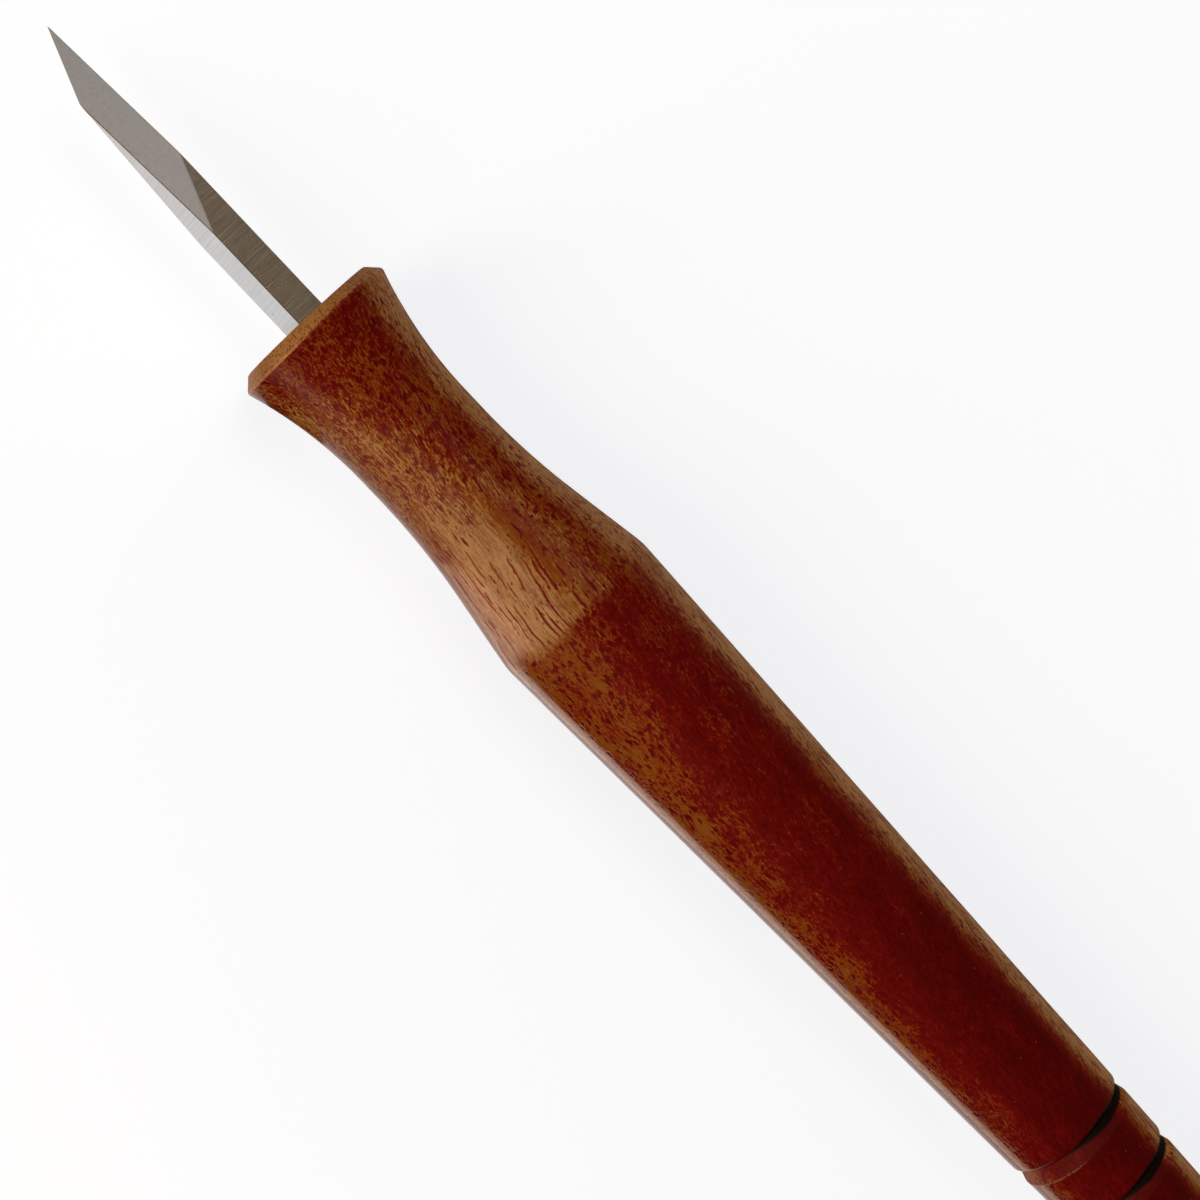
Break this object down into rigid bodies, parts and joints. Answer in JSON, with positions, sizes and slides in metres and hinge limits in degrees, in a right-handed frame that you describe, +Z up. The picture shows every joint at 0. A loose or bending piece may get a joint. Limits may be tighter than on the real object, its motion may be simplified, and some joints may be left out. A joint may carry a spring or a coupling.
{
  "type": "marking knife",
  "caption": "Marking knife: a turned, waisted hardwood handle with turned grooves near its butt, and a square steel bar glued into its nose, ground to a skewed edge with a bevel on both faces.",
  "frame": {"origin": "below the middle of the knife's whole length and on its centre line, level with the lowest point of its widest ring", "axes": "+X along the handle's axis from the blade's tip to the butt, +Y across the knife towards the side of the sharp point, +Z up, square to the blade's flats"},
  "size_m": [0.1582, 0.0168, 0.0169],
  "materials": {
    "lacquered_wood": "dark red-brown open-pored hardwood, turned, sanded and lacquered to a gloss",
    "tool_steel": "ground square bar, fine grinding lines across its flats, satin bevels",
    "epoxy": "cured epoxy, clear amber"
  },
  "bodies": {
    "root": {"handle": "lacquered_wood", "blade": "tool_steel", "glue_bed": "epoxy"}
  },
  "joints": []
}
